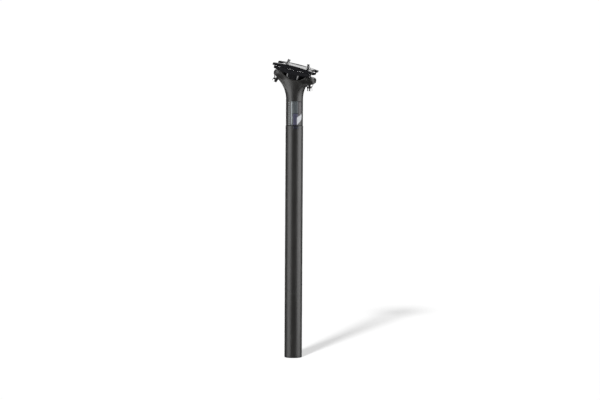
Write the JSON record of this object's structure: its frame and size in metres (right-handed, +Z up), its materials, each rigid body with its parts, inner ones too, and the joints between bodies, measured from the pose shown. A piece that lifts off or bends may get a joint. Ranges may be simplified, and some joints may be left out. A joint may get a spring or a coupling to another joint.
{
  "type": "bicycle seatpost",
  "caption": "Slender black flexing bicycle seatpost with a flared head and a tilting rail clamp held by splayed front and rear bolts.",
  "frame": {"origin": "centre of the tube's bottom rim, the end that goes into the bicycle frame", "axes": "+Z up the tube, +X to the front of the bicycle, +Y to its left"},
  "size_m": [0.0686, 0.054, 0.4643],
  "materials": {
    "shaft_black": "matte",
    "head_black": "matte",
    "clamp_black": "gloss",
    "bolt_steel": "satin",
    "seat_steel": "satin",
    "nut_steel": "satin"
  },
  "bodies": {
    "post": {"lower_shaft": "shaft_black"},
    "flexing_post": {"upper_shaft": "shaft_black", "head": "head_black", "front_washer_seat": "seat_steel", "rear_washer_seat": "seat_steel"},
    "cradle": {"lower_clamp": "clamp_black"},
    "jaw": {"upper_clamp": "clamp_black"},
    "front_washer": {"front_washer": "bolt_steel"},
    "rear_washer": {"rear_washer": "bolt_steel"},
    "front_bolt": {"front_bolt": "bolt_steel"},
    "rear_bolt": {"rear_bolt": "bolt_steel"},
    "front_nut": {"front_barrel_nut": "nut_steel"},
    "rear_nut": {"rear_barrel_nut": "nut_steel"}
  },
  "joints": [
    {"name": "shaft_flex", "type": "hinge", "parent": "post", "child": "flexing_post", "pos_m": [0, 0, 0.157], "axis": [0, -1, 0], "range_deg": [-1, 4], "stiffness_Nm_per_rad": 1000},
    {"name": "saddle_tilt", "type": "hinge", "parent": "flexing_post", "child": "cradle", "pos_m": [0.00502, 0, 0.45583], "axis": [0, 1, 0], "range_deg": [-6.5, 6.5]},
    {"name": "jaw_lift", "type": "slide", "parent": "cradle", "child": "jaw", "axis": [0.225, 0, 0.9744], "range_m": [0, 0.0006]},
    {"name": "front_washer_swing", "type": "hinge", "parent": "flexing_post", "child": "front_washer", "pos_m": [0.02344, 0, 0.41918], "axis": [0, 1, 0], "range_deg": [-3.6, 3.6]},
    {"name": "rear_washer_swing", "type": "hinge", "parent": "flexing_post", "child": "rear_washer", "pos_m": [-0.02947, 0, 0.43294], "axis": [0, 1, 0], "range_deg": [-4.2, 4.2]},
    {"name": "front_bolt_turn", "type": "hinge", "parent": "front_washer", "child": "front_bolt", "pos_m": [0.02344, 0, 0.41918], "axis": [-0.0523, 0, 0.9986], "continuous": true},
    {"name": "rear_bolt_turn", "type": "hinge", "parent": "rear_washer", "child": "rear_bolt", "pos_m": [-0.02947, 0, 0.43294], "axis": [0.5878, 0, 0.809], "continuous": true},
    {"name": "front_nut_turn", "type": "hinge", "parent": "jaw", "child": "front_nut", "pos_m": [0.02214, 0, 0.44397], "axis": [0, 1, 0], "range_deg": [-10.2, 10.2]},
    {"name": "rear_nut_turn", "type": "hinge", "parent": "jaw", "child": "rear_nut", "pos_m": [-0.0152, 0, 0.45259], "axis": [0, 1, 0], "range_deg": [-10.8, 10.8]}
  ],
  "couplings": [
    {"joint": "front_washer_swing", "follows": "saddle_tilt", "ratio": -0.5144},
    {"joint": "rear_washer_swing", "follows": "saddle_tilt", "ratio": -0.5972},
    {"joint": "front_nut_turn", "follows": "saddle_tilt", "ratio": -1.5144},
    {"joint": "rear_nut_turn", "follows": "saddle_tilt", "ratio": -1.5972}
  ]
}
